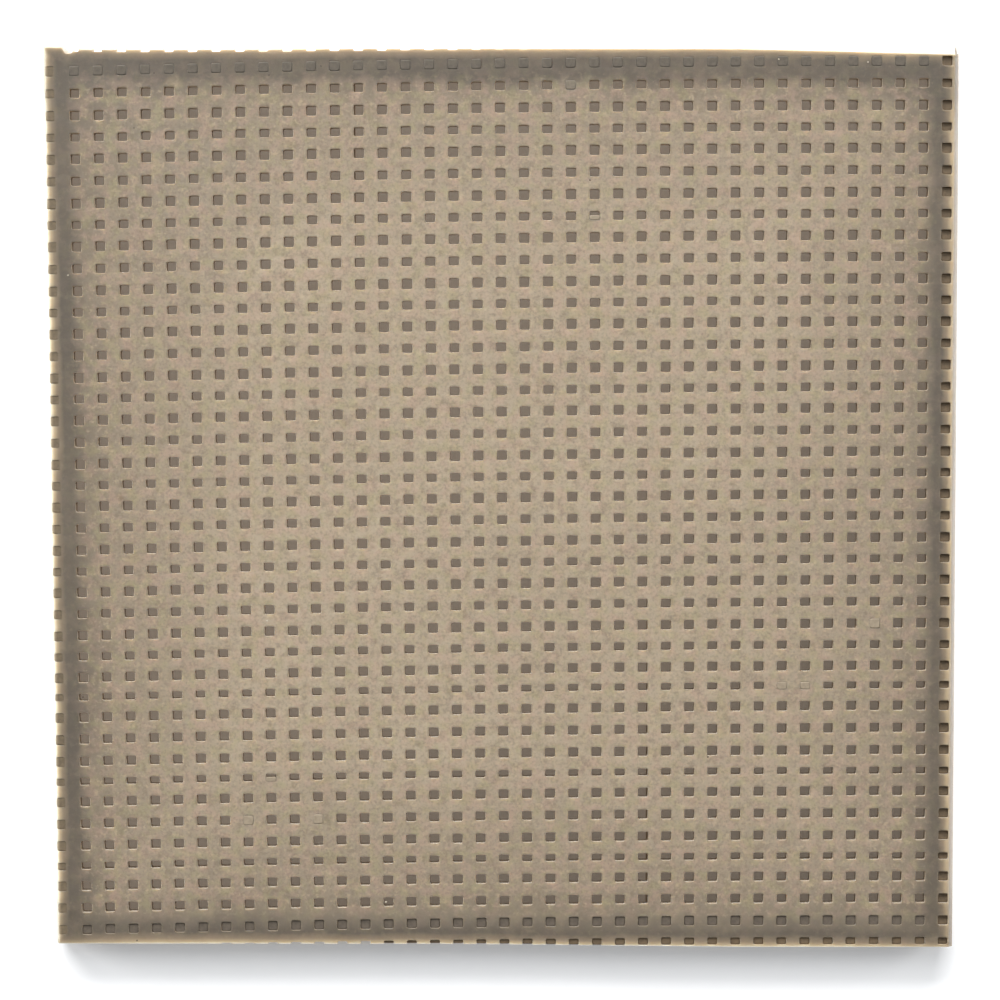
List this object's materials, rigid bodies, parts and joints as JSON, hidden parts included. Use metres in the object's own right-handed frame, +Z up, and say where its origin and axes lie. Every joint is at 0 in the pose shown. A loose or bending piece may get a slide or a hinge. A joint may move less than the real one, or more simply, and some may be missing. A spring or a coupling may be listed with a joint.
{
  "type": "queen excluder",
  "caption": "Square perforated tan sheet on a thin half-lapped wooden frame: worker bees pass the small openings, the queen and drones don't.",
  "frame": {"origin": "on the surface the frame stands on, under the middle of the sheet", "axes": "+Z up, out of the perforated face; +X to the right and +Y to the back of the sheet as it lies"},
  "size_m": [0.3531, 0.3501, 0.012],
  "materials": {
    "sheet_plastic": "used, satin, slightly translucent, stained darker near the edges",
    "rail_wood": "bare pine, planed, propolis stains",
    "lath_wood": "bare pine, planed",
    "zinc_steel": "dull zinc plate",
    "beeswax": "soft waxy deposit"
  },
  "bodies": {
    "root": {"back_rail": "rail_wood", "brad_back_left": "zinc_steel", "brad_back_right": "zinc_steel", "brad_front_left": "zinc_steel", "brad_front_right": "zinc_steel", "excluder_sheet": "sheet_plastic", "front_rail": "rail_wood", "left_rail": "rail_wood", "left_support_lath": "lath_wood", "right_rail": "rail_wood", "right_support_lath": "lath_wood", "screw_back_left_corner": "zinc_steel", "screw_back_rail_1": "zinc_steel", "screw_back_rail_2": "zinc_steel", "screw_back_rail_3": "zinc_steel", "screw_back_right_corner": "zinc_steel", "screw_front_left_corner": "zinc_steel", "screw_front_rail_1": "zinc_steel", "screw_front_rail_2": "zinc_steel", "screw_front_rail_3": "zinc_steel", "screw_front_right_corner": "zinc_steel", "screw_left_rail_1": "zinc_steel", "screw_left_rail_2": "zinc_steel", "screw_left_rail_3": "zinc_steel", "screw_right_rail_1": "zinc_steel", "screw_right_rail_2": "zinc_steel", "screw_right_rail_3": "zinc_steel"}
  },
  "joints": []
}
